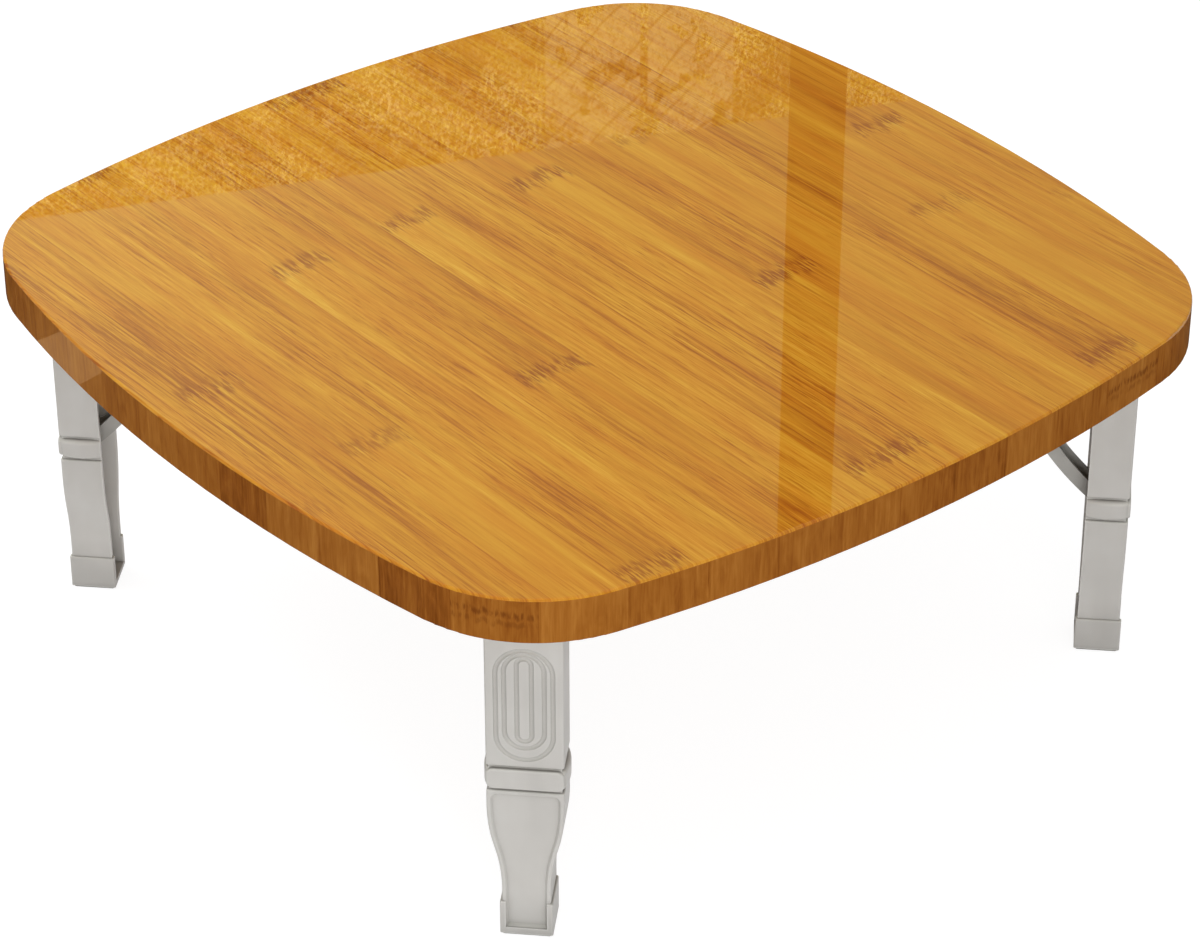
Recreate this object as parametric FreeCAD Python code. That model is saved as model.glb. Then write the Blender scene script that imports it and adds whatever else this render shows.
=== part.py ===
import FreeCAD, Part
import math
import os
from FreeCAD import Rotation, Vector

# Folding floor table: a square board with bowed sides on four corner legs that fold in along the diagonals.
# Millimetres, +Z up, origin on the floor under the middle of the board.

# Overall
TABLE_HEIGHT = 250.0
TOP_SIZE = 600.0              # between the middles of opposite sides
SIDE_BOW_RADIUS = 1100.0      # long outward bow of each side
CORNER_RADIUS = 94.0

# Board: core, printed face sheet, backing sheet and edge band
CORE_THICKNESS = 26.1
FACE_SHEET = 1.6
BACK_SHEET = 0.8
BAND_THICKNESS = 1.2
FACE_EDGE_ROUND = 1.4
BAND_EDGE_ROUND = 0.8

# Leg: a moulded channel, open at the back, with heights measured from the floor
LEG_CORNER_INSET = 27.9       # from the tip of the board's corner to the leg's front face
LEG_WIDTH = 44.0
LEG_DEPTH = 26.0
LEG_WALL = 2.8
LEG_EDGE_ROUND = 1.3
SHIN_WIDTH = 28.0
TAPER_LOW = 32.5
TAPER_HIGH = 89.5
FOOT_WIDTH = 30.4
FOOT_DEPTH = 28.4
FOOT_TOP = 23.6
FOOT_EDGE_ROUND = 1.0
PAD_THICKNESS = 1.5
PAD_INSET = 1.4

# Collar: a ring with swollen sides between two grooves, with a round-cornered pad on its front
COLLAR_LOW = 102.2            # middle of the lower groove
COLLAR_HIGH = 117.3           # middle of the upper groove
GROOVE_HEIGHT = 1.6
GROOVE_DEPTH = 1.4
COLLAR_SIDE_BULGE = 2.2
COLLAR_CORNER = 4.0
COLLAR_ROUND = 3.0
COLLAR_PAD_RISE = 0.9         # in front of the leg's front face
COLLAR_PAD_CORNER = 4.2
COLLAR_PAD_ROUND = 1.1

# Sunk panel on the front of the shin
PANEL_RIM = 2.2
PANEL_SLOPE = 1.4
PANEL_DEPTH = 1.6
PANEL_LOW = 5.7
PANEL_TOP_GAP = 3.0           # below the lower groove
PANEL_CORNER = 4.0

# Nested long rings on the upper front, each with the height of its middle above the collar's upper groove
OUTER_RING_WIDTH = 34.8
OUTER_RING_HEIGHT = 76.2
OUTER_RING_MIDDLE = 43.0
MIDDLE_RING_WIDTH = 25.2
MIDDLE_RING_HEIGHT = 65.6
MIDDLE_RING_MIDDLE = 45.5
INNER_RING_WIDTH = 11.2
INNER_RING_HEIGHT = 58.2
INNER_RING_MIDDLE = 46.5
RING_GROOVE_RADIUS = 1.6
RING_GROOVE_LIFT = 0.6        # of the groove's centre in front of the leg's front face

# Hinge bracket pressed from sheet, screwed under the board
BRACKET_SHEET = 1.5
BRACKET_TAIL = 18.5           # plate beyond the stay's pin
BRACKET_CORNER = 4.0
HINGE_DROP = 14.3             # hinge axis below the plate
HINGE_SIDE_GAP = 0.4          # leg wall to bracket cheek
LEG_TOP_GAP = 0.3             # open stop: leg top to plate
PLATE_SETBACK = 0.6           # plate's front end behind the leg's front face
CHEEK_GAP = 1.1               # cheek's round end to the inside of the leg's front wall
RIVET_RADIUS = 3.0
RIVET_HEAD_RADIUS = 4.8
RIVET_HEAD_HEIGHT = 1.5
RIVET_TAIL_RADIUS = 4.2
RIVET_TAIL_HEIGHT = 1.1
RUNNING_GAP = 0.06            # radial, between a pin and what turns on it
SIDE_PLAY = 0.2               # along a pin, between faces that turn past each other

# Locking stay: a curved channel on a pin in the bracket, hooked over a pin in the leg
STAY_PIN_INSET = 65.7         # stay's pin inward from the hinge axis
STAY_PIN_DROP = 10.3          # stay's pin below the plate
STAY_PIN_RADIUS = 2.5
STAY_EAR_RADIUS = 6.5
STAY_WIDTH = 15.0
STAY_HEIGHT = 8.6
STAY_SHEET = 1.3
STAY_CURVE_RADIUS = 193.0
STAY_TOE = 4.0                # beyond the hooked pin
SPACER_RADIUS = 4.2
LATCH_HEIGHT = 104.5          # leg's pin above the floor
LATCH_SETBACK = 1.0           # leg's pin behind the hinge axis
LATCH_PIN_RADIUS = 2.5
LATCH_PIN_SOCKET = 0.8        # how far each end goes into the leg's wall
LATCH_BOSS_RADIUS = 5.0
LATCH_BOSS_LENGTH = 4.0
HOOK_GAP = 0.35
HOOK_RELIEF = 28.0            # degrees that the hook's mouth leans back

# Bracket screws
SCREW_RADIUS = 1.75
SCREW_LENGTH = 19.0
SCREW_TIP = 4.0
SCREW_HEAD_RADIUS = 3.7
SCREW_HEAD_HEIGHT = 2.2
SCREW_SIDE = 12.5             # either side of the diagonal
SCREW_HOLE_GAP = 0.35
SCREW_FRONT_INSET = 26.0      # front pair inward from the hinge axis
SCREW_TAIL_EDGE = 7.5         # rear pair from the plate's inner end
DRIVE_SLOT_WIDTH = 0.9
DRIVE_SLOT_LENGTH = 3.8
DRIVE_SLOT_DEPTH = 1.2

CORNERS = {"front_right": -45.0, "back_right": 45.0, "back_left": 135.0, "front_left": 225.0}

TOLERANCE = 1e-4              # for finding edges by their place

# Worked out from the sizes above
BOARD_TOP = TABLE_HEIGHT
CORE_TOP = BOARD_TOP - FACE_SHEET
CORE_LOW = CORE_TOP - CORE_THICKNESS
BOARD_LOW = CORE_LOW - BACK_SHEET
PLATE_LOW = BOARD_LOW - BRACKET_SHEET
HINGE_Z = PLATE_LOW - HINGE_DROP
BOW_CENTRE = TOP_SIZE / 2 - SIDE_BOW_RADIUS
RADIUS_STEP = SIDE_BOW_RADIUS - CORNER_RADIUS
CORNER_CENTRE = (BOW_CENTRE + math.sqrt(2 * RADIUS_STEP ** 2 - BOW_CENTRE ** 2)) / 2
CORNER_REACH = CORNER_CENTRE * math.sqrt(2) + CORNER_RADIUS
FRONT = LEG_DEPTH / 2
HINGE_REACH = CORNER_REACH - LEG_CORNER_INSET - FRONT
LEG_TOP = PLATE_LOW - LEG_TOP_GAP
LEG_INNER = LEG_WIDTH / 2 - LEG_WALL
TAPER_ANGLE = 2 * math.atan2((LEG_WIDTH - SHIN_WIDTH) / 2, TAPER_HIGH - TAPER_LOW)
TAPER_RADIUS = (TAPER_HIGH - TAPER_LOW) / (2 * math.sin(TAPER_ANGLE))
CHEEK_OUT = LEG_INNER - HINGE_SIDE_GAP
CHEEK_IN = CHEEK_OUT - BRACKET_SHEET
CHEEK_RADIUS = FRONT - LEG_WALL - CHEEK_GAP
STAY_PIN = Vector(-STAY_PIN_INSET, 0, PLATE_LOW - STAY_PIN_DROP)
LATCH_PIN = Vector(-LATCH_SETBACK, 0, LATCH_HEIGHT)
PLATE_FRONT = FRONT - PLATE_SETBACK
PLATE_BACK = STAY_PIN.x - BRACKET_TAIL
SCREW_SPOTS = [(x, side * SCREW_SIDE) for x in (-SCREW_FRONT_INSET, PLATE_BACK + SCREW_TAIL_EDGE) for side in (-1, 1)]
RINGS = ((OUTER_RING_WIDTH, OUTER_RING_HEIGHT, OUTER_RING_MIDDLE),
         (MIDDLE_RING_WIDTH, MIDDLE_RING_HEIGHT, MIDDLE_RING_MIDDLE),
         (INNER_RING_WIDTH, INNER_RING_HEIGHT, INNER_RING_MIDDLE))
ACROSS = Vector(0, 1, 0)
UP = Vector(0, 0, 1)
OUTWARD = Vector(1, 0, 0)
HINGE = Vector(0, 0, HINGE_Z)


def turned(v, degrees):
    """The vector turned about the vertical."""
    return Rotation(UP, degrees).multVec(v)


def line(a, b):
    return Part.LineSegment(a, b).toShape()


def arc(a, middle, b):
    return Part.Arc(a, middle, b).toShape()


def face(edges):
    return Part.Face(Part.Wire(edges))


def across(shape, half):
    """A face in the upright plane of the diagonal, drawn out evenly to both sides."""
    moved = shape.copy()
    moved.translate(ACROSS * -half)
    return moved.extrude(ACROSS * (2 * half))


def rod(centre, radius, y_from, y_to):
    """A cylinder that lies across the diagonal."""
    return Part.makeCylinder(radius, y_to - y_from, Vector(centre.x, y_from, centre.z), ACROSS)


def slab(x, y, z):
    """A box from its three ranges."""
    size = [b - a for a, b in (x, y, z)]
    return Part.makeBox(*size, Vector(x[0], y[0], z[0]))


def edges_where(shape, test):
    return [e for e in shape.Edges if test(e.BoundBox)]


def flat_at(low, high, value):
    """True if an edge's range lies wholly at one value."""
    return abs(low - value) < TOLERANCE and abs(high - value) < TOLERANCE


def mirrored(shape):
    """A second copy on the other side of the diagonal's upright plane."""
    return shape.mirror(Vector(0, 0, 0), ACROSS)


# Board

def board_outline(inset, z):
    """Four bowed sides and four round corners, all tangent, drawn in by an even inset."""
    bow = SIDE_BOW_RADIUS - inset
    corner = CORNER_RADIUS - inset
    lift = Vector(0, 0, z)
    towards = Vector(CORNER_CENTRE - BOW_CENTRE, CORNER_CENTRE, 0).normalize()
    side_end = Vector(BOW_CENTRE, 0, 0) + towards * bow
    next_start = Vector(side_end.y, side_end.x, 0)
    middle = Vector(BOW_CENTRE + bow, 0, 0)
    tip = Vector(1, 1, 0).normalize() * (CORNER_CENTRE * math.sqrt(2) + corner)
    edges = []
    for quarter in range(4):
        spin = 90.0 * quarter
        side_start = Vector(side_end.x, -side_end.y, 0)
        edges.append(arc(*[turned(p, spin) + lift for p in (side_start, middle, side_end)]))
        edges.append(arc(*[turned(p, spin) + lift for p in (side_end, tip, next_start)]))
    return Part.Wire(edges)


def board_layer(inset, low, high):
    return Part.Face(board_outline(inset, low)).extrude(UP * (high - low))


def face_sheet():
    sheet = board_layer(0, CORE_TOP, BOARD_TOP)
    return sheet.makeFillet(FACE_EDGE_ROUND, edges_where(sheet, lambda b: flat_at(b.ZMin, b.ZMax, BOARD_TOP)))


def edge_band():
    block = board_layer(0, BOARD_LOW, CORE_TOP)
    block = block.makeFillet(BAND_EDGE_ROUND, edges_where(block, lambda b: flat_at(b.ZMin, b.ZMax, BOARD_LOW)))
    return block.cut(board_layer(BAND_THICKNESS, BOARD_LOW, CORE_TOP))


def drilled(layer):
    """A board layer with the bracket screws' holes."""
    holes = [at_corner(screw_shank(x, y), angle) for angle in CORNERS.values() for x, y in SCREW_SPOTS]
    return layer.cut(Part.makeCompound(holes))


# Leg

def leg_outline(inset, low, high, x):
    """Front outline of the leg between two heights: shin, double curve and upper block, drawn in by an even inset."""
    shin = SHIN_WIDTH / 2 - inset
    block = LEG_WIDTH / 2 - inset
    hollow_centre = SHIN_WIDTH / 2 + TAPER_RADIUS
    swell_centre = LEG_WIDTH / 2 - TAPER_RADIUS

    def hollow(share):
        a = TAPER_ANGLE * share
        r = TAPER_RADIUS + inset
        return hollow_centre - r * math.cos(a), TAPER_LOW + r * math.sin(a)

    def swell(share):
        a = TAPER_ANGLE * share
        r = TAPER_RADIUS - inset
        return swell_centre + r * math.cos(a), TAPER_HIGH - r * math.sin(a)

    edges = []
    for side in (1, -1):
        def at(y, z):
            return Vector(x, side * y, z)
        edges.append(line(at(shin, low), at(shin, TAPER_LOW)))
        edges.append(arc(*[at(*hollow(share)) for share in (0, 0.5, 1)]))
        edges.append(arc(*[at(*swell(share)) for share in (1, 0.5, 0)]))
        edges.append(line(at(block, TAPER_HIGH), at(block, high)))
    edges.append(line(Vector(x, -block, high), Vector(x, block, high)))
    edges.append(line(Vector(x, -shin, low), Vector(x, shin, low)))
    return Part.Wire(Part.__sortEdges__(edges))


def leg_prism(inset, low, high, x_from, x_to):
    return Part.Face(leg_outline(inset, low, high, x_from)).extrude(OUTWARD * (x_to - x_from))


def front_rounded(block, radius, soft_z, sharp_z):
    """Rounds a block's front edges, except those at the sharp height, and its side edges at the soft height."""
    def soft(b):
        at_front = flat_at(b.XMin, b.XMax, FRONT) and not flat_at(b.ZMin, b.ZMax, sharp_z)
        runs_back = b.XLength > LEG_DEPTH / 2 and flat_at(b.ZMin, b.ZMax, soft_z)
        return at_front or runs_back
    return block.makeFillet(radius, edges_where(block, soft))


def upper_block():
    half = LEG_WIDTH / 2
    low = COLLAR_HIGH + GROOVE_HEIGHT / 2
    block = slab((-FRONT, FRONT), (-half, half), (low, LEG_TOP))
    return front_rounded(block, LEG_EDGE_ROUND, low, LEG_TOP)


def shin():
    high = COLLAR_LOW - GROOVE_HEIGHT / 2
    block = leg_prism(0, PAD_THICKNESS, high, -FRONT, FRONT)
    return front_rounded(block, LEG_EDGE_ROUND, high, PAD_THICKNESS)


def collar():
    """Ring between the grooves, bowed outward in plan on its sides and rounded over, with the pad on its front."""
    low = COLLAR_LOW + GROOVE_HEIGHT / 2
    high = COLLAR_HIGH - GROOVE_HEIGHT / 2
    half = LEG_WIDTH / 2
    back_right, front_right = Vector(-FRONT, half, low), Vector(FRONT, half, low)
    back_left, front_left = Vector(-FRONT, -half, low), Vector(FRONT, -half, low)
    plan = [arc(back_right, Vector(0, half + COLLAR_SIDE_BULGE, low), front_right),
            line(front_right, front_left),
            arc(front_left, Vector(0, -half - COLLAR_SIDE_BULGE, low), back_left),
            line(back_left, back_right)]
    ring = face(plan).extrude(UP * (high - low))
    ring = ring.makeFillet(COLLAR_CORNER, edges_where(ring, lambda b: b.ZLength > TOLERANCE and b.XMin > 0))
    level = edges_where(ring, lambda b: b.ZLength < TOLERANCE and not flat_at(b.XMin, b.XMax, -FRONT))
    ring = ring.makeFillet(COLLAR_ROUND, level)
    pad_front = FRONT + COLLAR_PAD_RISE
    pad = slab((0, pad_front), (-half, half), (low, high))
    pad = pad.makeFillet(COLLAR_PAD_CORNER, edges_where(pad, lambda b: b.XLength > TOLERANCE))
    pad = pad.makeFillet(COLLAR_PAD_ROUND, edges_where(pad, lambda b: flat_at(b.XMin, b.XMax, pad_front)))
    return ring.fuse(pad)


def foot():
    deep, half = FOOT_DEPTH / 2, FOOT_WIDTH / 2
    block = slab((-deep, deep), (-half, half), (PAD_THICKNESS, FOOT_TOP))
    return block.makeFillet(FOOT_EDGE_ROUND, edges_where(block, lambda b: not flat_at(b.ZMin, b.ZMax, PAD_THICKNESS)))


def sunk_panel():
    """Cutter for the shin's front panel: sloping sides, round upper corners."""
    high = COLLAR_LOW - PANEL_TOP_GAP

    def outline(inset, x):
        wire = leg_outline(inset, PANEL_LOW + inset - PANEL_RIM, high - inset + PANEL_RIM, x)
        plate = Part.Face(wire).extrude(OUTWARD)
        corners = edges_where(plate, lambda b: b.XLength > TOLERANCE and b.ZMin > TAPER_HIGH)
        soft = plate.makeFillet(PANEL_CORNER, corners)
        return next(f for f in soft.Faces if flat_at(f.BoundBox.XMin, f.BoundBox.XMax, x)).OuterWire

    mouth = outline(PANEL_RIM, FRONT)
    bed = outline(PANEL_RIM + PANEL_SLOPE, FRONT - PANEL_DEPTH)
    through = Part.Face(mouth).extrude(OUTWARD * (FOOT_DEPTH - LEG_DEPTH))
    return Part.makeLoft([mouth, bed], True, True).fuse(through)


def ring_groove(width, height, middle):
    """Cutter for one long ring: a shallow round groove along two straights and two half turns."""
    half_groove = math.sqrt(RING_GROOVE_RADIUS ** 2 - RING_GROOVE_LIFT ** 2)
    turn = width / 2 - half_groove
    reach = (height - width) / 2
    centre = Vector(FRONT + RING_GROOVE_LIFT, 0, COLLAR_HIGH + middle)
    pieces = []
    for side in (-1, 1):
        foot_of_run = centre + ACROSS * (side * turn) - UP * reach
        pieces.append(Part.makeCylinder(RING_GROOVE_RADIUS, 2 * reach, foot_of_run, UP))
        end = centre + UP * (side * reach)
        section = Part.Face(Part.Wire(Part.makeCircle(RING_GROOVE_RADIUS, end + ACROSS * turn, UP)))
        pieces.append(section.revolve(end, OUTWARD, side * 180))
    return pieces[0].fuse(pieces[1:])


def top_corner():
    """Cutter that rounds the leg's upper back corner about the hinge, so that it clears the plate."""
    half = LEG_WIDTH
    corner = slab((-LEG_DEPTH, 0), (-half, half), (HINGE_Z, LEG_TOP + HINGE_DROP))
    return corner.cut(rod(HINGE, LEG_TOP - HINGE_Z, -half, half))


def leg():
    core = leg_prism(GROOVE_DEPTH, PAD_THICKNESS, LEG_TOP, -FRONT, FRONT - GROOVE_DEPTH)
    body = core.fuse([upper_block(), collar(), shin(), foot()])
    body = body.cut(leg_prism(LEG_WALL, PAD_THICKNESS + LEG_WALL, TABLE_HEIGHT, -FOOT_DEPTH, FRONT - LEG_WALL))
    boss = rod(LATCH_PIN, LATCH_BOSS_RADIUS, LEG_INNER - LATCH_BOSS_LENGTH, LEG_INNER + LEG_WALL / 2)
    body = body.fuse([boss, mirrored(boss)])
    cutters = [sunk_panel(), top_corner(), latch_pin(), rod(HINGE, RIVET_RADIUS + RUNNING_GAP, -LEG_WIDTH, LEG_WIDTH)]
    cutters += [ring_groove(*ring) for ring in RINGS]
    for cutter in cutters:
        body = body.cut(cutter)
    return body.removeSplitter()


def foot_pad():
    deep, half = FOOT_DEPTH / 2 - PAD_INSET, FOOT_WIDTH / 2 - PAD_INSET
    pad = slab((-deep, deep), (-half, half), (0, PAD_THICKNESS))
    return pad.makeFillet(FOOT_EDGE_ROUND, edges_where(pad, lambda b: b.ZLength > PAD_THICKNESS / 2))


def latch_pin():
    reach = LEG_INNER + LATCH_PIN_SOCKET
    return rod(LATCH_PIN, LATCH_PIN_RADIUS, -reach, reach)


# Hinge bracket

def cheek_profile():
    """Side of the bracket: a round ear on the hinge and one on the stay's pin, joined by their common tangent."""
    apart = STAY_PIN - HINGE
    along = Vector(apart).normalize()
    down = Vector(-along.z, 0, along.x)
    lean = (CHEEK_RADIUS - STAY_EAR_RADIUS) / apart.Length
    normal = along * lean + down * math.sqrt(1 - lean ** 2)
    hinge_side = HINGE + OUTWARD * CHEEK_RADIUS
    pin_side = STAY_PIN - OUTWARD * STAY_EAR_RADIUS
    hinge_bend = HINGE + (normal + OUTWARD).normalize() * CHEEK_RADIUS
    pin_bend = STAY_PIN + (normal - OUTWARD).normalize() * STAY_EAR_RADIUS
    hinge_end = HINGE + normal * CHEEK_RADIUS
    pin_end = STAY_PIN + normal * STAY_EAR_RADIUS
    top_out = Vector(hinge_side.x, 0, PLATE_LOW)
    top_in = Vector(pin_side.x, 0, PLATE_LOW)
    return face([line(top_out, hinge_side), arc(hinge_side, hinge_bend, hinge_end), line(hinge_end, pin_end),
                 arc(pin_end, pin_bend, pin_side), line(pin_side, top_in), line(top_in, top_out)])


def bracket():
    plate = slab((PLATE_BACK, PLATE_FRONT), (-CHEEK_OUT, CHEEK_OUT), (PLATE_LOW, BOARD_LOW))
    plate = plate.makeFillet(BRACKET_CORNER, edges_where(plate, lambda b: b.ZLength > BRACKET_SHEET / 2))
    profile = cheek_profile()
    cheeks = across(profile, CHEEK_OUT).cut(across(profile, CHEEK_IN))
    body = plate.fuse(cheeks)
    body = body.cut(rod(HINGE, RIVET_RADIUS, -LEG_WIDTH, LEG_WIDTH))
    body = body.cut(rod(STAY_PIN, STAY_PIN_RADIUS, -LEG_WIDTH, LEG_WIDTH))
    holes = [Part.makeCylinder(SCREW_RADIUS + SCREW_HOLE_GAP, BRACKET_SHEET, Vector(x, y, PLATE_LOW))
             for x, y in SCREW_SPOTS]
    return body.cut(Part.makeCompound(holes)).removeSplitter()


def hinge_rivet():
    """Shoulder rivet from outside the leg's wall into the bracket's cheek."""
    head_base = LEG_WIDTH / 2 + SIDE_PLAY
    tail_base = CHEEK_IN - RIVET_TAIL_HEIGHT
    crown = head_base + RIVET_HEAD_HEIGHT
    cap = arc(Vector(0, 0, crown), Vector(RIVET_HEAD_RADIUS / 2, 0, crown - RIVET_HEAD_HEIGHT / 4),
              Vector(RIVET_HEAD_RADIUS, 0, head_base))
    corners = [(RIVET_HEAD_RADIUS, head_base), (RIVET_RADIUS, head_base), (RIVET_RADIUS, CHEEK_IN),
               (RIVET_TAIL_RADIUS, CHEEK_IN), (RIVET_TAIL_RADIUS, tail_base), (0, tail_base), (0, crown)]
    points = [Vector(r, 0, y) for r, y in corners]
    outline = [cap] + [line(a, b) for a, b in zip(points, points[1:])]
    rivet = face(outline).revolve(Vector(0, 0, 0), UP, 360)
    rivet.rotate(Vector(0, 0, 0), OUTWARD, -90)
    return rivet.translated(HINGE)


def hinge_rivets():
    rivet = hinge_rivet()
    return Part.makeCompound([rivet, mirrored(rivet)])


def stay_pin():
    return rod(STAY_PIN, STAY_PIN_RADIUS, -CHEEK_OUT, CHEEK_OUT)


def stay_spacers():
    """Two tubes that keep the stay in the middle of its pin."""
    low, high = STAY_WIDTH / 2 + SIDE_PLAY, CHEEK_IN
    tube = rod(STAY_PIN, SPACER_RADIUS, low, high).cut(rod(STAY_PIN, STAY_PIN_RADIUS, low, high))
    return Part.makeCompound([tube, mirrored(tube)])


def screw_shank(x, y):
    tip = PLATE_LOW + SCREW_LENGTH
    shank = Part.makeCylinder(SCREW_RADIUS, SCREW_LENGTH - SCREW_TIP, Vector(x, y, PLATE_LOW))
    return shank.fuse(Part.makeCone(SCREW_RADIUS, 0, SCREW_TIP, Vector(x, y, tip - SCREW_TIP))).removeSplitter()


def screw(x, y):
    """Pan-head wood screw, driven up through the plate, with a cross drive."""
    head = Part.makeCylinder(SCREW_HEAD_RADIUS, SCREW_HEAD_HEIGHT, Vector(x, y, PLATE_LOW - SCREW_HEAD_HEIGHT))
    low = head.BoundBox.ZMin
    head = head.makeFillet(SCREW_HEAD_HEIGHT / 2, edges_where(head, lambda b: flat_at(b.ZMin, b.ZMax, low)))
    long, thin = DRIVE_SLOT_LENGTH / 2, DRIVE_SLOT_WIDTH / 2
    depth = (low, low + DRIVE_SLOT_DEPTH)
    cross = slab((x - long, x + long), (y - thin, y + thin), depth)
    cross = cross.fuse(slab((x - thin, x + thin), (y - long, y + long), depth))
    return head.cut(cross).fuse(screw_shank(x, y)).removeSplitter()


def bracket_screws():
    return Part.makeCompound([screw(x, y) for x, y in SCREW_SPOTS])


# Locking stay

def stay_curve():
    """Centre of the stay's curve, above its hollow side."""
    chord = STAY_PIN - LATCH_PIN
    hollow_side = Vector(chord.z, 0, -chord.x).normalize()
    rise = math.sqrt(STAY_CURVE_RADIUS ** 2 - (chord.Length / 2) ** 2)
    return (STAY_PIN + LATCH_PIN) * 0.5 + hollow_side * rise


def stay_band(outer, inner):
    """Side view of the stay between two radii of its curve, with round ends beyond both pins."""
    centre = stay_curve()
    middle = (outer + inner) / 2
    half = (outer - inner) / 2
    to_pin, to_latch = STAY_PIN - centre, LATCH_PIN - centre

    def angle(v):
        return math.atan2(v.z, v.x)

    def spot(radius, a):
        return centre + Vector(radius * math.cos(a), 0, radius * math.sin(a))

    pin_end = angle(to_pin)
    toe_end = angle(to_latch) + STAY_TOE / STAY_CURVE_RADIUS
    between = (pin_end + toe_end) / 2
    tip = half / middle
    return face([arc(spot(outer, pin_end), spot(outer, between), spot(outer, toe_end)),
                 arc(spot(outer, toe_end), spot(middle, toe_end + tip), spot(inner, toe_end)),
                 arc(spot(inner, toe_end), spot(inner, between), spot(inner, pin_end)),
                 arc(spot(inner, pin_end), spot(middle, pin_end - tip), spot(outer, pin_end))])


def hook_mouth():
    """Cutter for the hook: a seat round the leg's pin, open to the hollow side and leaning back to the stay's pin."""
    inward = (stay_curve() - LATCH_PIN).normalize()
    along = Vector(inward.z, 0, -inward.x)
    if along.dot(STAY_PIN - LATCH_PIN) < 0:
        along = along * -1
    seat = LATCH_PIN_RADIUS + HOOK_GAP
    depth = STAY_HEIGHT
    lean = math.radians(HOOK_RELIEF)
    flank = LATCH_PIN + (along * math.cos(lean) - inward * math.sin(lean)) * seat
    corners = [LATCH_PIN - along * seat, LATCH_PIN - along * seat + inward * depth,
               flank + inward * depth + along * (depth * math.tan(lean)), flank, LATCH_PIN]
    mouth = across(Part.Face(Part.makePolygon(corners + corners[:1])), STAY_WIDTH)
    return mouth.fuse(rod(LATCH_PIN, seat, -STAY_WIDTH, STAY_WIDTH))


def stay():
    outer = STAY_CURVE_RADIUS + STAY_HEIGHT / 2
    inner = STAY_CURVE_RADIUS - STAY_HEIGHT / 2
    body = across(stay_band(outer, inner), STAY_WIDTH / 2)
    hollow = across(stay_band(outer - STAY_SHEET, inner - STAY_HEIGHT), STAY_WIDTH / 2 - STAY_SHEET)
    body = body.cut(hollow).cut(hook_mouth())
    return body.cut(rod(STAY_PIN, STAY_PIN_RADIUS + RUNNING_GAP, -STAY_WIDTH, STAY_WIDTH)).removeSplitter()


# Assembly

def at_corner(shape, degrees):
    """A corner piece moved out to the hinge and turned to its diagonal."""
    placed = shape.translated(OUTWARD * HINGE_REACH)
    placed.rotate(Vector(0, 0, 0), UP, degrees)
    return placed


def at_every_corner(shape):
    return Part.makeCompound([at_corner(shape, angle) for angle in CORNERS.values()])


def solids_of(shape):
    """A compound of plain solids, so that a group's pieces stay separate."""
    return Part.makeCompound(shape.Solids) if len(shape.Solids) > 1 else shape.Solids[0]


def build():
    nodes = {
        "face_sheet": face_sheet(),
        "core_board": drilled(board_layer(BAND_THICKNESS, CORE_LOW, CORE_TOP)),
        "back_sheet": drilled(board_layer(BAND_THICKNESS, BOARD_LOW, CORE_LOW)),
        "edge_band": edge_band(),
        "hinge_rivets": at_every_corner(hinge_rivets()),
        "stay_pins": at_every_corner(stay_pin()),
        "stay_spacers": at_every_corner(stay_spacers()),
        "bracket_screws": at_every_corner(bracket_screws()),
    }
    corner_pieces = {"bracket": bracket(), "leg": leg(), "latch_pin": latch_pin(), "foot_pad": foot_pad(), "stay": stay()}
    for piece, shape in corner_pieces.items():
        for corner, angle in CORNERS.items():
            nodes[f"{piece}_{corner}"] = at_corner(shape, angle)
    return nodes


os.makedirs("parts", exist_ok=True)
for name, shape in build().items():
    solids_of(shape).exportStep(f"parts/{name}.step")
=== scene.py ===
import math

import bpy
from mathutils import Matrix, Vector


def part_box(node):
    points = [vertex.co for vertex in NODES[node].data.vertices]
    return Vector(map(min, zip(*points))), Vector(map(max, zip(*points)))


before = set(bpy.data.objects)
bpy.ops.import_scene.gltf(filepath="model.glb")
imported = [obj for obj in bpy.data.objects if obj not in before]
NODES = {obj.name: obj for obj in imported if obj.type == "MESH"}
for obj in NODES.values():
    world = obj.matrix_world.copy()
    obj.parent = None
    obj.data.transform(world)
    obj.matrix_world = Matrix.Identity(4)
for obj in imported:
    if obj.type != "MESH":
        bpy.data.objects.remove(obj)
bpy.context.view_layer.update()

# Looks of the folding floor table: a lacquered bamboo-faced board, light grey moulded legs, painted stays.
# Metres, +Z up, origin on the floor under the middle of the board.

CORNERS = ("front_right", "back_right", "back_left", "front_left")
BOARD_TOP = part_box("face_sheet")[1].z
BOARD_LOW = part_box("back_sheet")[0].z
MM = 0.001

# Camera, from the picture: where it looks, from where and through which lens (mm)
CAMERA_TARGET = Vector((0.0040, -0.0032, 0.1027))
CAMERA_AZIMUTH = math.radians(-38.71)
CAMERA_ELEVATION = math.radians(32.54)
CAMERA_DISTANCE = 2.543
CAMERA_LENS = 122.45
SENSOR_WIDTH = 36.0


# Node trees

def linear(*srgb):
    """A colour given as 0 to 255 in sRGB, as the linear values that the sockets take."""
    def one(v):
        v /= 255.0
        return v / 12.92 if v <= 0.04045 else ((v + 0.055) / 1.055) ** 2.4
    return tuple(one(v) for v in srgb) + (1.0,)


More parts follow.
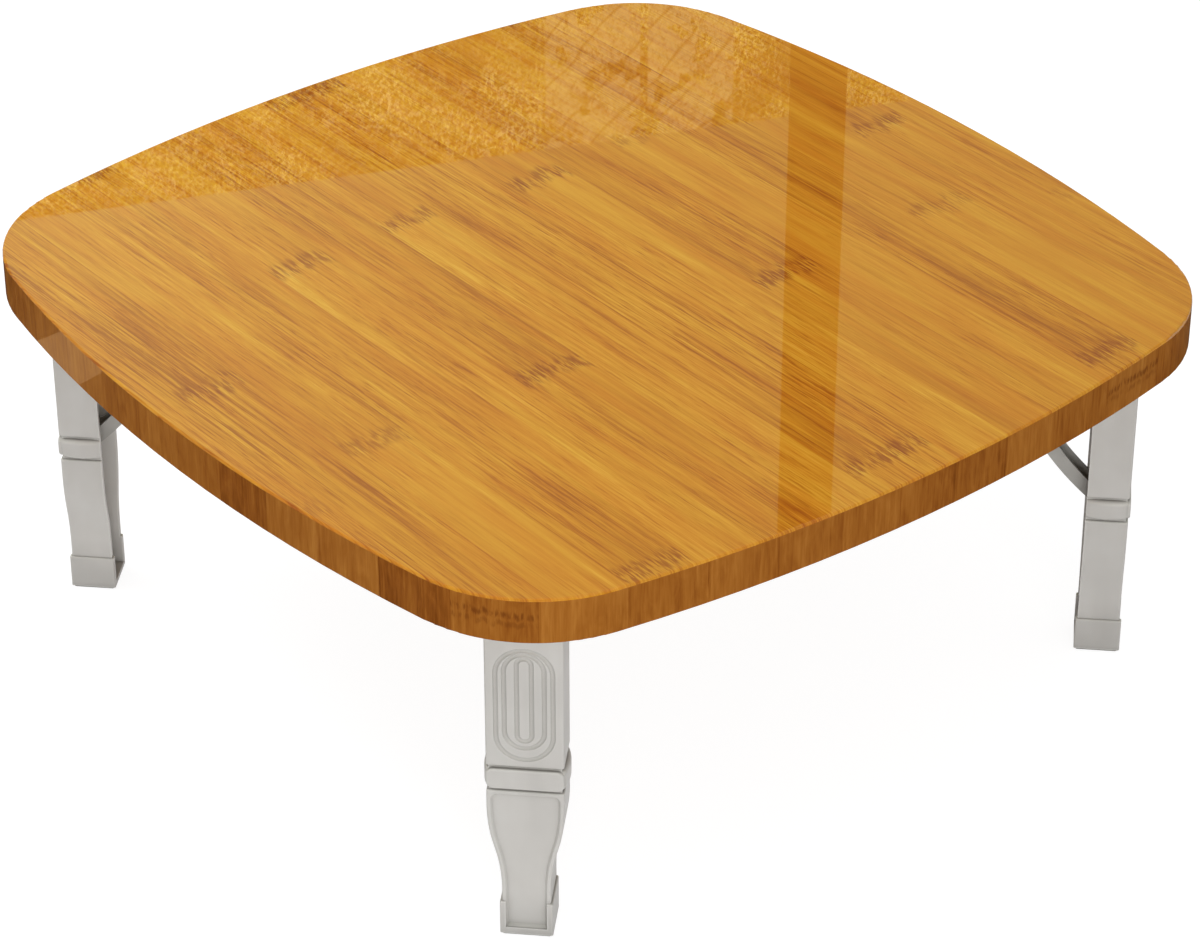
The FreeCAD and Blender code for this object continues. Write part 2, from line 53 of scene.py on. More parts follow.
class Tree:
    """A node tree with short ways to add nodes. An input is a socket to link from, or a plain value."""

    def __init__(self, owner):
        owner.use_nodes = True
        self.tree = owner.node_tree
        self.tree.nodes.clear()

    def node(self, kind, inputs=None, **settings):
        made = self.tree.nodes.new(kind)
        for name, value in settings.items():
            setattr(made, name, value)
        for key, value in (inputs or {}).items():
            self.feed(made.inputs[key], value)
        return made

    def feed(self, socket, value):
        if isinstance(value, bpy.types.NodeSocket):
            self.tree.links.new(value, socket)
        else:
            socket.default_value = value

    def math(self, operation, *values, clamp=False):
        made = self.node("ShaderNodeMath", dict(enumerate(values)), operation=operation, use_clamp=clamp)
        return made.outputs[0]

    def weigh(self, first, share, second):
        """Two values added, the first by its share and the second by the rest."""
        return self.math("MULTIPLY_ADD", first, share, self.math("MULTIPLY", second, 1.0 - share))

    def point(self):
        """The point in the piece's own frame."""
        return self.node("ShaderNodeTexCoord").outputs["Object"]

    def split(self, point):
        """A point's three numbers."""
        return self.node("ShaderNodeSeparateXYZ", {0: point}).outputs

    def vector(self, x, y, z):
        return self.node("ShaderNodeCombineXYZ", {0: x, 1: y, 2: z}).outputs[0]

    def stretch(self, point, *scales):
        """A point with each number scaled, for a pattern that is finer one way than another."""
        return self.node("ShaderNodeVectorMath", {0: point, 1: scales}, operation="MULTIPLY").outputs[0]

    def noise(self, point, scale, detail, rough, warp=0.0):
        made = self.node("ShaderNodeTexNoise", {"Vector": point, "Scale": scale, "Detail": detail,
                                                "Roughness": rough, "Distortion": warp})
        return made.outputs["Fac"]

    def span(self, value, low, high, to_low=0.0, to_high=1.0, smooth=False):
        """A value's range mapped onto another and held at its ends."""
        kind = "SMOOTHSTEP" if smooth else "LINEAR"
        made = self.node("ShaderNodeMapRange", {"Value": value, "From Min": low, "From Max": high,
                                                "To Min": to_low, "To Max": to_high},
                         interpolation_type=kind)
        return made.outputs[0]

    def ramp(self, value, stops, mode="LINEAR"):
        made = self.node("ShaderNodeValToRGB", {0: value})
        made.color_ramp.interpolation = mode
        elements = made.color_ramp.elements
        while len(elements) < len(stops):
            elements.new(0.5)
        for element, (at, colour) in zip(elements, stops):
            element.position = at
            element.color = colour
        return made.outputs

    def tones(self, value, palette):
        """The colour that a value has in one of the palettes below."""
        return self.ramp(value, [(at, linear(*srgb)) for at, *srgb in palette])["Color"]

    def mix(self, share, a, b):
        """A colour mix. The node keeps its colour sockets after those of its other types."""
        made = self.node("ShaderNodeMix", data_type="RGBA")
        for socket, value in ((0, share), (6, a), (7, b)):
            self.feed(made.inputs[socket], value)
        return made.outputs[2]

    def bump(self, height, distance, strength):
        made = self.node("ShaderNodeBump", {"Height": height, "Distance": distance, "Strength": strength})
        return made.outputs[0]

    def surface(self, **inputs):
        """The shader and the output. Spaces in a socket's name are written as underscores."""
        named = {key.replace("_", " "): value for key, value in inputs.items()}
        shader = self.node("ShaderNodeBsdfPrincipled", named)
        self.node("ShaderNodeOutputMaterial", {0: shader.outputs[0]})


def material(name):
    """A new material and its node tree."""
    made = bpy.data.materials.new(name)
    return made, Tree(made)


# Palettes: places on a ramp from 0 to 1, each with red, green and blue from 0 to 255 in sRGB
AMBER = ((0.05, 157, 79, 7), (0.30, 180, 103, 14), (0.52, 197, 122, 23), (0.75, 208, 139, 33),
         (1.0, 219, 156, 49))
HONEY = ((0.05, 162, 88, 11), (0.30, 186, 115, 19), (0.52, 202, 135, 29), (0.75, 212, 151, 40),
         (1.0, 223, 169, 58))
RIM_WOOD = ((0.05, 114, 60, 14), (0.30, 139, 79, 24), (0.52, 156, 95, 33), (0.75, 170, 109, 43),
            (1.0, 185, 127, 57))
BACKING_BROWN = ((0.25, 140, 96, 52), (0.5, 164, 117, 68), (0.75, 182, 136, 84))
FIBRE_TAN = ((0.3, 136, 98, 60), (0.55, 164, 124, 80), (0.8, 190, 152, 106))
MOULDING_GREY = ((0.25, 194, 191, 186), (0.5, 202, 199, 194), (0.75, 210, 208, 204))
ENAMEL_GREY = ((0.3, 160, 158, 153), (0.7, 178, 176, 171))
ZINC_GREY = ((0.2, 168, 170, 172), (0.5, 190, 192, 193), (0.8, 206, 207, 206))
RUBBER_GREY = ((0.3, 112, 110, 106), (0.6, 132, 130, 125), (0.8, 148, 146, 141))

JOINT_RED = linear(142, 62, 9)
RIM_RED = linear(104, 50, 12)
BACKING_FLECK = linear(112, 74, 40)
# painted light and shade on the legs: shade in the grooves, shade towards the foot, highlights on the edges
GROOVE_PAINTED_SHADE = linear(120, 117, 111)
FOOT_PAINTED_SHADE = linear(150, 148, 144)
EDGE_PAINTED_HIGHLIGHT = linear(224, 223, 219)
SCUFFED = linear(120, 119, 116)

# Bamboo face: strips side by side over a field wider than the board, each with its own tone and fibres, and
# joint marks at equal steps along it
STRIP_FIELD = 0.64
JOINT_EVERY = 0.56
SEAM_WIDTH = 0.0009
STRIPS = (
    # left edge (mm), tone, joint mark along the strip (mm), strength of the mark, streaks
    (-320.0, 0.52, -115, 0.35, 0.7),
    (-280.0, 0.47, 25, 0.90, 1.0),
    (-240.0, 0.60, -80, 0.65, 0.3),
    (-200.0, 0.51, -275, 0.90, 0.55),
    (-158.0, 0.63, 110, 0.85, 0.3),
    (-117.5, 0.46, -82, 1.00, 0.45),
    (-73.0, 0.62, 113, 0.80, 0.3),
    (-36.5, 0.49, -270, 1.00, 0.8),
    (22.5, 0.61, 107, 0.85, 0.3),
    (61.5, 0.46, -80, 1.00, 0.30),
    (107.0, 0.58, 112, 0.50, 0.2),
    (149.5, 0.48, -267, 0.90, 0.7),
    (192.5, 0.57, -78, 0.55, 0.2),
    (235.0, 0.49, 27, 0.90, 0.7),
    (276.5, 0.54, -115, 0.35, 0.7),
)

# Joint mark, in metres along the strip: the row of dashes and its tails, each from full to none, how far
# the row strays, how sharply the tone changes at it, how far the shade beyond and the light before it reach
MARK_ROW = (0.004, 0.0125)
MARK_TAILS = (0.006, 0.042)
MARK_STRAY = 0.005
MARK_EDGE = 0.004
SHADE_REACH = 0.15
LIGHT_REACH = 0.10


def strip_stops():
    """A ramp's stops at the strips' edges. The channels: tone, place of the mark, its strength, streaks."""
    return [(edge * MM / STRIP_FIELD + 0.5, (tone, joint * MM / STRIP_FIELD + 0.5, mark, streaks))
            for edge, tone, joint, mark, streaks in STRIPS]


def bamboo_face():
    """The lacquered face: strips with fibres, seams and joint marks."""
    made, t = material("bamboo_face")
    x, y = t.split(t.point())[:2]
    stops = strip_stops()
    field = t.math("MULTIPLY_ADD", x, 1 / STRIP_FIELD, 0.5)
    strip = t.ramp(field, stops, "CONSTANT")
    tone, joint, mark = t.node("ShaderNodeSeparateColor", {0: strip["Color"]}).outputs
    streaks = strip["Alpha"]

    # a seam is where the tone is another one a seam's width further on
    next_strip = t.ramp(t.math("ADD", field, SEAM_WIDTH / STRIP_FIELD), stops, "CONSTANT")["Color"]
    next_tone = t.node("ShaderNodeSeparateColor", {0: next_strip}).outputs[0]
    seam = t.math("GREATER_THAN", t.math("ABSOLUTE", t.math("SUBTRACT", tone, next_tone)), 0.001)

    # a number of each strip's own, which sets its noise apart from the others'
    own = t.math("MULTIPLY_ADD", joint, 37.0, tone)

    def along(across_scale, along_scale, detail=2.0, rough=0.55):
        """Noise drawn out along the strip, different in every strip, about zero."""
        point = t.vector(t.math("MULTIPLY", x, across_scale), t.math("MULTIPLY", y, along_scale), own)
        return t.math("SUBTRACT", t.noise(point, 1.0, detail, rough), 0.5)

    # fibres, from hair lines to broad shades, with short pores and longer dark lines, busier on the left
    hair = along(1700.0, 60.0)
    fine = along(760.0, 16.0, 3.0, 0.6)
    fibre = along(300.0, 8.0, 3.0, 0.6)
    broad = along(60.0, 5.0)
    line = t.span(along(520.0, 7.0), 0.07, 0.19)
    pore = t.span(along(980.0, 50.0), 0.08, 0.22)
    hue = t.span(along(95.0, 9.0), -0.14, 0.14)
    busy = t.span(t.math("MULTIPLY_ADD", x, -0.25, along(18.0, 5.0)), -0.12, 0.12, 0.40, 1.35)

    # joint mark: a ragged row of short reddish dashes with a few longer tails, and flecks of light between
    stray = t.span(along(120.0, 0.0), -0.22, 0.22, -MARK_STRAY, MARK_STRAY)
    away = t.math("SUBTRACT", t.math("MULTIPLY_ADD", y, 1 / STRIP_FIELD, 0.5), joint)
    away = t.math("WRAP", t.math("MULTIPLY", away, STRIP_FIELD), JOINT_EVERY / 2, -JOINT_EVERY / 2)
    near = t.math("ABSOLUTE", t.math("ADD", away, stray))
    row = t.span(near, *MARK_ROW, 1.0, 0.0, smooth=True)
    dash = t.math("MULTIPLY_ADD", along(380.0, 62.0), 0.35, along(800.0, 70.0))
    dash = t.span(dash, -0.07, 0.08)
    tail = t.math("MULTIPLY", t.span(near, *MARK_TAILS, 1.0, 0.0), t.span(along(520.0, 20.0), 0.07, 0.19))
    red = t.math("MULTIPLY", row, t.math("MULTIPLY_ADD", dash, 0.72, 0.08))
    red = t.math("MULTIPLY_ADD", tail, 0.45, red)
    red = t.math("MULTIPLY", red, mark, clamp=True)
    gleam = t.math("MULTIPLY", t.math("MULTIPLY", row, mark), t.math("SUBTRACT", 1.0, dash))
    beyond = t.span(away, -MARK_EDGE, MARK_EDGE)
    shade = t.math("MULTIPLY", t.span(away, 0.0, SHADE_REACH, 1.0, 0.0, smooth=True), beyond)
    before = t.span(away, -MARK_EDGE, MARK_EDGE, 1.0, 0.0)
    light = t.math("MULTIPLY", t.span(away, -LIGHT_REACH, 0.0, smooth=True), before)

    # the layers add up to a level: each has a plain share and a further one in streaky strips
    level = tone
    for layer, plain, streaky in ((fibre, 0.42, 0.52), (broad, 0.54, 0.0)):
        level = t.math("MULTIPLY_ADD", layer, t.math("MULTIPLY_ADD", streaks, streaky, plain), level)
    for layer, plain, streaky in ((hair, 0.50, 0.0), (fine, 0.82, 0.25),
                                  (line, -0.08, -0.26), (pore, -0.18, -0.10)):
        share = t.math("MULTIPLY", t.math("MULTIPLY_ADD", streaks, streaky, plain), busy)
        level = t.math("MULTIPLY_ADD", layer, share, level)
    seam = t.math("MULTIPLY", seam, t.span(along(0.0, 9.0), -0.08, 0.12))
    for layer, share in ((seam, -0.16), (gleam, 0.16), (t.math("MULTIPLY", shade, mark), -0.10),
                         (t.math("MULTIPLY", light, mark), 0.08)):
        level = t.math("MULTIPLY_ADD", layer, share, level)
    wood = t.mix(hue, t.tones(level, AMBER), t.tones(level, HONEY))
    colour = t.mix(red, wood, JOINT_RED)
    rough = t.span(fibre, -0.2, 0.2, 0.38, 0.50)
    t.surface(Base_Color=colour, Roughness=rough, Specular_IOR_Level=0.02,
              Normal=t.bump(fine, 0.00004, 0.35), Coat_Weight=0.60, Coat_Roughness=0.012, Coat_IOR=1.5)
    return made


# Rim: upright segments all round. The one at the near corner has a joint mark in the picture, and others
# have one by chance. The mark's height and the step down to its second row are shares of the rim's height.
RIM_SEGMENTS = 46
RIM_SEAM = 0.482
NEAR_CORNER_SEGMENT = 5.0
RIM_UNMARKED = 0.93
RIM_MARK_HEIGHT = 0.62
RIM_ROW_STEP = 0.20


def edge_wood():
    """The board's rim: bamboo on end in upright segments, darker than the face, a few with a joint mark."""
    made, t = material("wood_edge")
    x, y, z = t.split(t.point())
    round_rim = t.math("MULTIPLY_ADD", t.math("ARCTAN2", y, x), RIM_SEGMENTS / math.tau, RIM_SEGMENTS / 2)
    segment = t.math("FLOOR", round_rim)
    chance = t.node("ShaderNodeTexWhiteNoise", {"W": segment}, noise_dimensions="1D").outputs["Value"]
    inside = t.math("FRACT", round_rim)
    seam = t.math("GREATER_THAN", t.math("ABSOLUTE", t.math("SUBTRACT", inside, 0.5)), RIM_SEAM)

    def upright(across_scale, up_scale, detail=2.0, rough=0.55, warp=0.0):
        """Noise drawn out upright, different in every segment, about zero."""
        point = t.vector(t.math("MULTIPLY", x, across_scale), t.math("MULTIPLY", y, across_scale),
                         t.math("MULTIPLY_ADD", z, up_scale, t.math("MULTIPLY", chance, 40.0)))
        return t.math("SUBTRACT", t.noise(point, 1.0, detail, rough, warp), 0.5)

    hair = upright(1500.0, 60.0)
    fine = upright(560.0, 26.0, 3.0, 0.6)
    swirl = upright(150.0, 34.0, 3.0, 0.6, 0.8)
    broad = upright(24.0, 2.0)
    level = t.math("MULTIPLY_ADD", t.math("SUBTRACT", chance, 0.5), 0.30, 0.5)
    for layer, share in ((hair, 0.35), (fine, 0.60), (swirl, 0.75), (broad, 0.50), (seam, -0.12)):
        level = t.math("MULTIPLY_ADD", layer, share, level)

    # joint mark: two ragged rows of dashes
    height = t.span(z, BOARD_LOW, BOARD_TOP)
    offset = t.math("SUBTRACT", height, t.math("MULTIPLY_ADD", upright(190.0, 0.0), 0.22, RIM_MARK_HEIGHT))
    first = t.span(t.math("ABSOLUTE", offset), 0.02, 0.12, 1.0, 0.0, smooth=True)
    second = t.math("ABSOLUTE", t.math("ADD", offset, RIM_ROW_STEP))
    second = t.span(second, 0.02, 0.10, 0.6, 0.0, smooth=True)
    dash = t.span(upright(520.0, 110.0), -0.10, 0.10)
    chosen = t.math("MAXIMUM", t.math("GREATER_THAN", chance, RIM_UNMARKED),
                    t.math("COMPARE", segment, NEAR_CORNER_SEGMENT, 0.5))
    red = t.math("MULTIPLY", t.math("MAXIMUM", first, second), dash)
    red = t.math("MULTIPLY", red, t.math("MULTIPLY", chosen, 0.70))
    colour = t.mix(red, t.tones(level, RIM_WOOD), RIM_RED)
    rough = t.span(swirl, -0.2, 0.2, 0.34, 0.46)
    t.surface(Base_Color=colour, Roughness=rough, Specular_IOR_Level=0.03,
              Normal=t.bump(fine, 0.00005, 0.4), Coat_Weight=0.22, Coat_Roughness=0.015, Coat_IOR=1.5)
    return made


def backing():
    """Underside: brown sealed sheet with paper-like flecks."""
    made, t = material("backing")
    point = t.point()
    grain = t.noise(t.stretch(point, 300.0, 14.0, 1.0), 1.0, 3.0, 0.6)
    cloud = t.noise(point, 9.0, 3.0, 0.55)
    fleck = t.span(t.noise(point, 520.0, 2.0, 0.6), 0.60, 0.72)
    brown = t.tones(t.weigh(grain, 0.55, cloud), BACKING_BROWN)
    colour = t.mix(t.math("MULTIPLY", fleck, 0.35), brown, BACKING_FLECK)
    t.surface(Base_Color=colour, Roughness=t.span(cloud, 0.3, 0.7, 0.52, 0.64), Specular_IOR_Level=0.35,
              Normal=t.bump(grain, 0.00006, 0.5))
    return made


def fibreboard():
    """The core between the sheets: pressed fibres."""
    made, t = material("fibreboard")
    point = t.point()
    felt = t.noise(t.stretch(point, 900.0, 900.0, 2600.0), 1.0, 3.0, 0.65)
    cloud = t.noise(point, 40.0, 2.0, 0.5)
    tan = t.tones(t.weigh(felt, 0.6, cloud), FIBRE_TAN)
    t.surface(Base_Color=tan, Roughness=0.85, Specular_IOR_Level=0.2, Normal=t.bump(felt, 0.0001, 0.6))
    return made


def leg_moulding():
    """Light warm grey satin moulding, cloudy, with painted shade in grooves and at the foot, painted edge
    highlights.
    """
    made, t = material("leg_moulding")
    point = t.point()
    skin = t.noise(point, 2600.0, 2.0, 0.6)
    cloud = t.noise(point, 22.0, 3.0, 0.55)
    flow = t.noise(t.stretch(point, 60.0, 60.0, 9.0), 1.0, 2.0, 0.5)
    colour = t.tones(t.weigh(cloud, 0.6, flow), MOULDING_GREY)
    # painted shade: darker where ambient occlusion finds the grooves and recesses closed in
    open_share = t.node("ShaderNodeAmbientOcclusion", {"Distance": 0.005}, samples=6).outputs["AO"]
    colour = t.mix(t.span(open_share, 0.40, 0.94, 0.80, 0.0), colour, GROOVE_PAINTED_SHADE)
    # painted shade: the legs darker towards the bottom, from about 55 mm above the floor down
    height = t.math("MULTIPLY_ADD", cloud, 0.03, t.split(point)[2])
    colour = t.mix(t.span(height, 0.012, 0.055, 0.46, 0.0, smooth=True), colour, FOOT_PAINTED_SHADE)
    # painted highlight: paler on thin convex edges, found by ambient occlusion from inside
    thin = t.node("ShaderNodeAmbientOcclusion", {"Distance": 0.0011}, samples=6, inside=True).outputs["AO"]
    colour = t.mix(t.span(thin, 0.45, 0.95, 0.7, 0.0), colour, EDGE_PAINTED_HIGHLIGHT)
    rough = t.span(cloud, 0.3, 0.7, 0.33, 0.45)
    t.surface(Base_Color=colour, Roughness=rough, Specular_IOR_Level=0.45,
              Normal=t.bump(skin, 0.00003, 0.35))
    return made


def stay_paint():
    """Grey enamel over pressed steel: faint orange peel and small scuffs."""
    made, t = material("stay_paint")
    point = t.point()
    peel = t.noise(point, 900.0, 2.0, 0.5)
    cloud = t.noise(point, 35.0, 3.0, 0.55)
    scuff = t.span(t.noise(point, 420.0, 4.0, 0.7), 0.66, 0.72)
    colour = t.mix(t.math("MULTIPLY", scuff, 0.35), t.tones(cloud, ENAMEL_GREY), SCUFFED)
    t.surface(Base_Color=colour, Roughness=t.span(cloud, 0.3, 0.7, 0.30, 0.42), Specular_IOR_Level=0.5,
              Normal=t.bump(peel, 0.00004, 0.4))
    return made


def zinc_steel():
    """Bright zinc plate: cool grey with a soft crystal pattern."""
    made, t = material("zinc_steel")
    point = t.point()
    crystal = t.node("ShaderNodeTexVoronoi", {"Vector": point, "Scale": 260.0}).outputs["Color"]
    crystal = t.node("ShaderNodeSeparateColor", {0: crystal}).outputs[0]
    cloud = t.noise(point, 60.0, 3.0, 0.6)
    level = t.weigh(crystal, 0.35, cloud)
    grey = t.tones(level, ZINC_GREY)
    t.surface(Base_Color=grey, Metallic=1.0, Roughness=t.span(level, 0.2, 0.8, 0.26, 0.42),
              Normal=t.bump(cloud, 0.00004, 0.3))
    return made


def pad_rubber():
    """Grey rubber under the feet, slightly gritty."""
    made, t = material("pad_rubber")
    point = t.point()
    grit = t.noise(point, 1400.0, 3.0, 0.65)
    cloud = t.noise(point, 90.0, 2.0, 0.5)
    grey = t.tones(t.weigh(grit, 0.5, cloud), RUBBER_GREY)
    t.surface(Base_Color=grey, Roughness=0.75, Specular_IOR_Level=0.3, Normal=t.bump(grit, 0.0001, 0.6))
    return made


def dress(node, finish):
    """Gives a frame node one finish all over."""
    slots = NODES[node].data.materials
    slots.clear()
    slots.append(finish)


MOULDING = leg_moulding()
ENAMEL = stay_paint()
ZINC = zinc_steel()
RUBBER = pad_rubber()
dress("face_sheet", bamboo_face())
dress("core_board", fibreboard())
dress("back_sheet", backing())
dress("edge_band", edge_wood())
for group in ("hinge_rivets", "stay_pins", "stay_spacers", "bracket_screws"):
    dress(group, ZINC)
for corner in CORNERS:
    dress(f"leg_{corner}", MOULDING)
    dress(f"stay_{corner}", ENAMEL)
    dress(f"bracket_{corner}", ZINC)
    dress(f"latch_pin_{corner}", ZINC)
    dress(f"foot_pad_{corner}", RUBBER)


# Studio: pale floor, white surround, soft lamps and cards that show only in mirrors.
# The floor is grey to the light, and a glow makes it white to the eye, seen straight or in a mirror.
# The surround is white to the eye too, and lights the table with its lesser fill.
FLOOR_SIZE = 16.0
FLOOR_GREY = (0.62, 0.62, 0.62, 1.0)
FLOOR_GLOW = 1.46
FLOOR_GLOW_SHARE = 0.62
SURROUND_FILL = 0.50
SURROUND_WHITE = 1.0


def sheet(name, width, depth):
    """A flat rectangle about its own middle."""
    mesh = bpy.data.meshes.new(name)
    half_x, half_y = width / 2, depth / 2
    outline = [(-half_x, -half_y, 0), (half_x, -half_y, 0), (half_x, half_y, 0), (-half_x, half_y, 0)]
    mesh.from_pydata(outline, [], [(0, 1, 2, 3)])
    made = bpy.data.objects.new(name, mesh)
    bpy.context.scene.collection.objects.link(made)
    return made


def seen_rays(t):
    """1 for what the camera sees straight, in a mirror or through glass."""
    path = t.node("ShaderNodeLightPath").outputs
    seen = t.math("MAXIMUM", path["Is Camera Ray"], path["Is Glossy Ray"])
    return t.math("MAXIMUM", seen, path["Is Transmission Ray"])


def pale_floor():
    """White to the eye with a faint shadow, and open from beneath."""
    made, t = material("pale_floor")
    diffuse = t.node("ShaderNodeBsdfDiffuse", {"Color": FLOOR_GREY})
    white = t.node("ShaderNodeEmission", {"Strength": FLOOR_GLOW})
    share = t.math("MULTIPLY", seen_rays(t), FLOOR_GLOW_SHARE)
    both = t.node("ShaderNodeMixShader", {0: share, 1: diffuse.outputs[0], 2: white.outputs[0]})
    clear = t.node("ShaderNodeBsdfTransparent")
    beneath = t.node("ShaderNodeNewGeometry").outputs["Backfacing"]
    one_sided = t.node("ShaderNodeMixShader", {0: beneath, 1: both.outputs[0], 2: clear.outputs[0]})
    t.node("ShaderNodeOutputMaterial", {0: one_sided.outputs[0]})
    return made


floor = sheet("floor", FLOOR_SIZE, FLOOR_SIZE)
floor.data.materials.append(pale_floor())

world = bpy.data.worlds.new("studio")
bpy.context.scene.world = world
surround = Tree(world)
brightness = surround.span(seen_rays(surround), 0.0, 1.0, SURROUND_FILL, SURROUND_WHITE)
sky = surround.node("ShaderNodeBackground", {"Color": (1.0, 1.0, 1.0, 1.0), "Strength": brightness})
surround.node("ShaderNodeOutputWorld", {0: sky.outputs[0]})


def softbox(name, place, target, width, depth, watts):
    """A soft lamp that isn't mirrored itself."""
    lamp = bpy.data.lights.new(name, "AREA")
    lamp.shape = "RECTANGLE"
    lamp.size = width
    lamp.size_y = depth
    lamp.energy = watts
    made = bpy.data.objects.new(name, lamp)
    made.location = place
    made.rotation_euler = (Vector(target) - Vector(place)).to_track_quat("-Z", "Y").to_euler()
    made.visible_glossy = False
    bpy.context.scene.collection.objects.link(made)


softbox("top_light", place=(-0.65, 1.10, 2.6), target=(0.0, 0.0, 0.2), width=2.0, depth=2.0, watts=41.5)
softbox("front_light", place=(-1.5, -2.4, 0.75), target=(0.0, 0.0, 0.12), width=1.8, depth=1.2, watts=34.0)

# Cards for the reflections that the picture has in the lacquer: warm walls on all four sides, a dark flag
# and a leafy screen before the back one, and on the floor round the table dark flags with a bright patch.
# Upright cards are placed along the camera's level heading and to its right, from the table's middle.
HEADING = Vector((-math.sin(CAMERA_AZIMUTH), math.cos(CAMERA_AZIMUTH), 0.0))
RIGHT = Vector((math.cos(CAMERA_AZIMUTH), math.sin(CAMERA_AZIMUTH), 0.0))
WALL_DISTANCE = 3.30
WALL_WIDTH = 6.6
WALL_LOW = 0.3
WALL_TOP = 5.0
BACK_WALL_LOW = 0.6
QUARTER_TURN = math.pi / 2
FLAG_LIFT = 0.001
PATCH_LIFT = 0.002

# Where the shine of an uneven card changes, across it from its middle
FALL_SPAN = (-0.8, 0.0)

# The window in the leafy screen, from the screen's middle: sides, bar, sill and how soft their edges are
WINDOW_LEFT = -0.066
WINDOW_RIGHT = 0.180
WINDOW_SOFT = 0.003
BAR_MIDDLE = 0.062
BAR_HALF = 0.004
BAR_SOFT = 0.002
SILL = -0.105
SILL_SOFT = 0.020


def only_mirrored(card, finish):
    """Gives a card its finish and hides it from all but mirrors."""
    card.data.materials.append(finish)
    for ray in ("camera", "diffuse", "transmission", "volume_scatter", "shadow"):
        setattr(card, f"visible_{ray}", False)


def mirror_card(name, ahead, aside, low, high, width, swing, finish):
    """An upright card that faces the camera, swung about the vertical, and shows only in mirrors."""
    card = sheet(name, width, high - low)
    card.location = HEADING * ahead + RIGHT * aside + Vector((0.0, 0.0, (low + high) / 2))
    card.rotation_euler = (QUARTER_TURN, 0.0, CAMERA_AZIMUTH + swing)
    only_mirrored(card, finish)


def floor_card(name, x, y, lift, finish):
    """A card on the floor over a span in x and one in y, which shows only in mirrors."""
    card = sheet(name, x[1] - x[0], y[1] - y[0])
    card.location = ((x[0] + x[1]) / 2, (y[0] + y[1]) / 2, lift)
    only_mirrored(card, finish)


def glow(name, colour, fall=None):
    """A material that shines, more on one side than on the other where a fall is given."""
    made, t = material(name)
    strength = t.span(t.split(t.point())[0], *FALL_SPAN, *fall) if fall else 1.0
    shine = t.node("ShaderNodeEmission", {"Color": colour, "Strength": strength})
    t.node("ShaderNodeOutputMaterial", {0: shine.outputs[0]})
    return made


def leaf_screen():
    """Yellow light through leaves with pale twigs, and a pale window behind part of it."""
    made, t = material("leaf_screen")
    point = t.point()
    x, y = t.split(point)[:2]

    def twig(scale, width, warp):
        """Thin winding lines, where a noise passes its middle value."""
        ridge = t.math("ABSOLUTE", t.math("SUBTRACT", t.noise(point, scale, 3.0, 0.55, warp), 0.5))
        return t.span(ridge, 0.0, width, 1.0, 0.0)

    leaves = t.span(t.noise(point, 230.0, 4.0, 0.75), 0.47, 0.56)
    dense = t.span(t.noise(point, 9.0, 2.0, 0.5), 0.40, 0.58, 0.35, 1.0)
    twigs = t.math("MAXIMUM", twig(30.0, 0.018, 1.0), t.math("MULTIPLY", twig(95.0, 0.045, 0.8), 0.8))
    branch = t.node("ShaderNodeTexWave", {"Vector": t.vector(x, y, 0.0), "Scale": 9.0, "Distortion": 3.0,
                                          "Detail": 2.0}, bands_direction="DIAGONAL")
    branches = t.span(branch.outputs["Fac"], 0.97, 0.998, 0.0, 0.8)

    # the window, which some of the leaves cover
    inside = t.math("MULTIPLY", t.span(x, WINDOW_LEFT, WINDOW_LEFT + WINDOW_SOFT),
                    t.span(x, WINDOW_RIGHT - WINDOW_SOFT, WINDOW_RIGHT, 1.0, 0.0))
    bar = t.span(t.math("ABSOLUTE", t.math("SUBTRACT", x, BAR_MIDDLE)), BAR_HALF, BAR_HALF + BAR_SOFT)
    window = t.math("MULTIPLY", t.math("MULTIPLY", inside, bar), t.span(y, SILL, SILL + SILL_SOFT))
    open_part = t.math("MULTIPLY", window, t.span(t.noise(point, 17.0, 3.0, 0.65), 0.43, 0.46))

    yellow = t.math("MULTIPLY", t.math("MULTIPLY", leaves, dense), 2.3)
    yellow = t.math("MULTIPLY", yellow, t.span(open_part, 0.0, 1.0, 1.0, 0.25))
    pale = t.math("MULTIPLY", twigs, t.math("MULTIPLY", dense, t.span(open_part, 0.0, 1.0, 3.0, 0.0)))
    shade = t.math("MULTIPLY_ADD", t.math("MAXIMUM", twigs, branches), -1.8, 2.05)
    pale = t.math("ADD", pale, t.math("MULTIPLY", open_part, shade))
    leaf_light = t.node("ShaderNodeEmission", {"Color": (1.0, 0.86, 0.10, 1.0), "Strength": yellow})
    pale_light = t.node("ShaderNodeEmission", {"Color": (1.0, 0.94, 0.48, 1.0), "Strength": pale})
    both = t.node("ShaderNodeAddShader", {0: leaf_light.outputs[0], 1: pale_light.outputs[0]})
    t.node("ShaderNodeOutputMaterial", {0: both.outputs[0]})
    return made


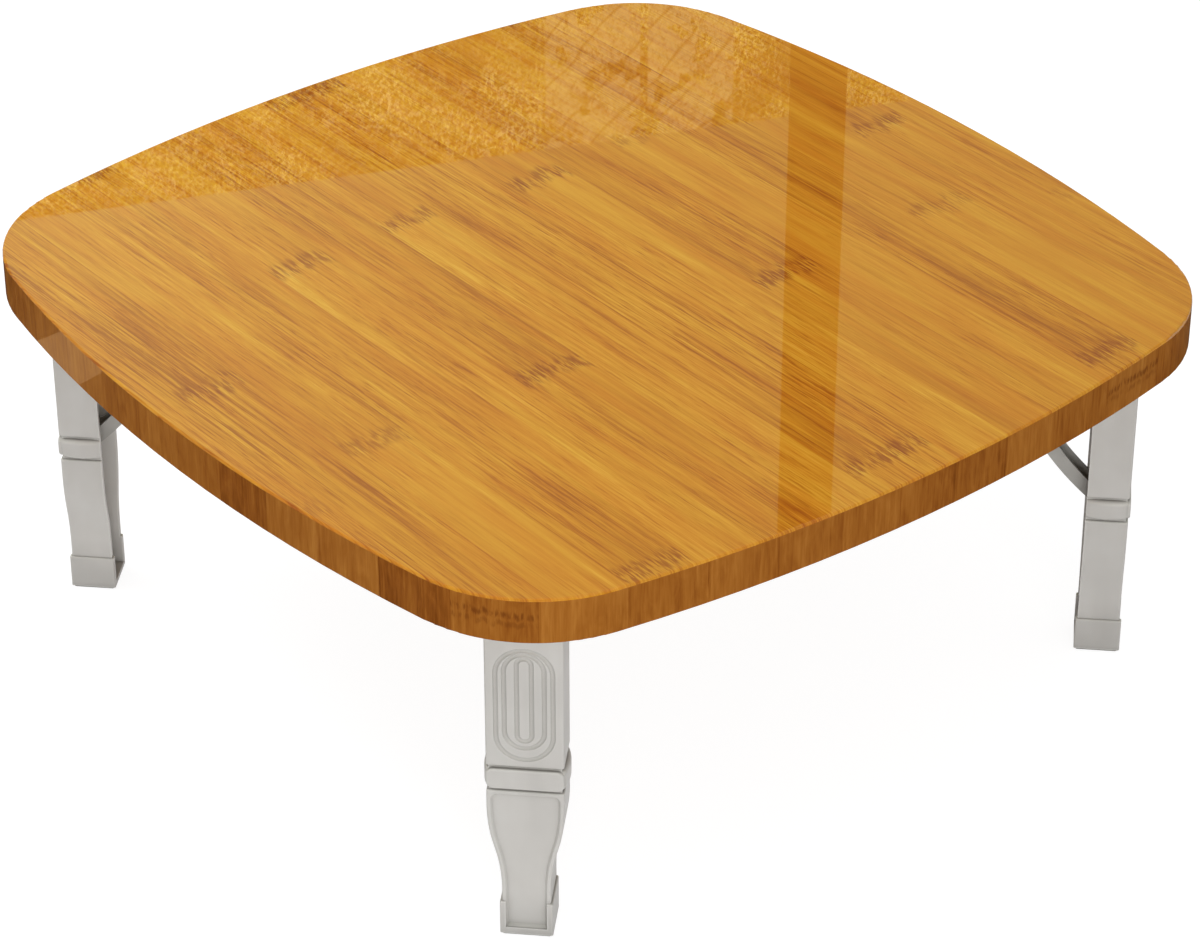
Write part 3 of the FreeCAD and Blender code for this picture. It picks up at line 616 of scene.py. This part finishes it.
DARK = glow("dark_flag", (0.01, 0.01, 0.01, 1.0))
BACK_WARM = glow("warm_panel", (0.85, 0.98, 0.54, 1.0), fall=(1.90, 0.95))
WARM = glow("warm_wall", (0.70, 0.76, 0.46, 1.0))
BRIGHT = glow("rim_patch", (2.1, 1.45, 0.75, 1.0))
mirror_card("dark_flag", ahead=2.20, aside=0.265, low=0.0, high=4.0, width=0.068, swing=0.0, finish=DARK)
mirror_card("leaf_screen", ahead=2.38, aside=0.0, low=1.21, high=1.43, width=2.0, swing=math.radians(16.0),
            finish=leaf_screen())
for name, ahead, aside, low, swing, finish in (
        ("warm_panel", WALL_DISTANCE, 0.0, BACK_WALL_LOW, 0.0, BACK_WARM),
        ("right_wall", 0.0, WALL_DISTANCE, WALL_LOW, QUARTER_TURN, WARM),
        ("left_wall", 0.0, -WALL_DISTANCE, WALL_LOW, QUARTER_TURN, WARM),
        ("front_wall", -WALL_DISTANCE, 0.0, WALL_LOW, 0.0, WARM)):
    mirror_card(name, ahead, aside, low, WALL_TOP, WALL_WIDTH, swing, finish)
for name, x, y, lift, finish in (
        ("left_flag", (-0.75, -0.31), (-0.75, 0.9), FLAG_LIFT, DARK),
        ("back_flag", (-0.31, 0.0), (0.45, 0.9), FLAG_LIFT, DARK),
        ("front_flag", (-0.31, 0.75), (-0.75, -0.31), FLAG_LIFT, DARK),
        ("right_flag", (0.31, 0.75), (-0.31, 0.5), FLAG_LIFT, DARK),
        ("rim_patch", (-0.62, -0.32), (0.462, 0.541), PATCH_LIFT, BRIGHT)):
    floor_card(name, x, y, lift, finish)

view = Vector((math.sin(CAMERA_AZIMUTH) * math.cos(CAMERA_ELEVATION),
               -math.cos(CAMERA_AZIMUTH) * math.cos(CAMERA_ELEVATION), math.sin(CAMERA_ELEVATION)))
lens = bpy.data.cameras.new("camera")
lens.sensor_width = SENSOR_WIDTH
lens.lens = CAMERA_LENS
camera = bpy.data.objects.new("camera", lens)
camera.location = CAMERA_TARGET + view * CAMERA_DISTANCE
camera.rotation_mode = "QUATERNION"
camera.rotation_quaternion = (-view).to_track_quat("-Z", "Y")
bpy.context.scene.collection.objects.link(camera)
bpy.context.scene.camera = camera
bpy.context.scene.view_settings.view_transform = "Standard"

bpy.context.view_layer.update()
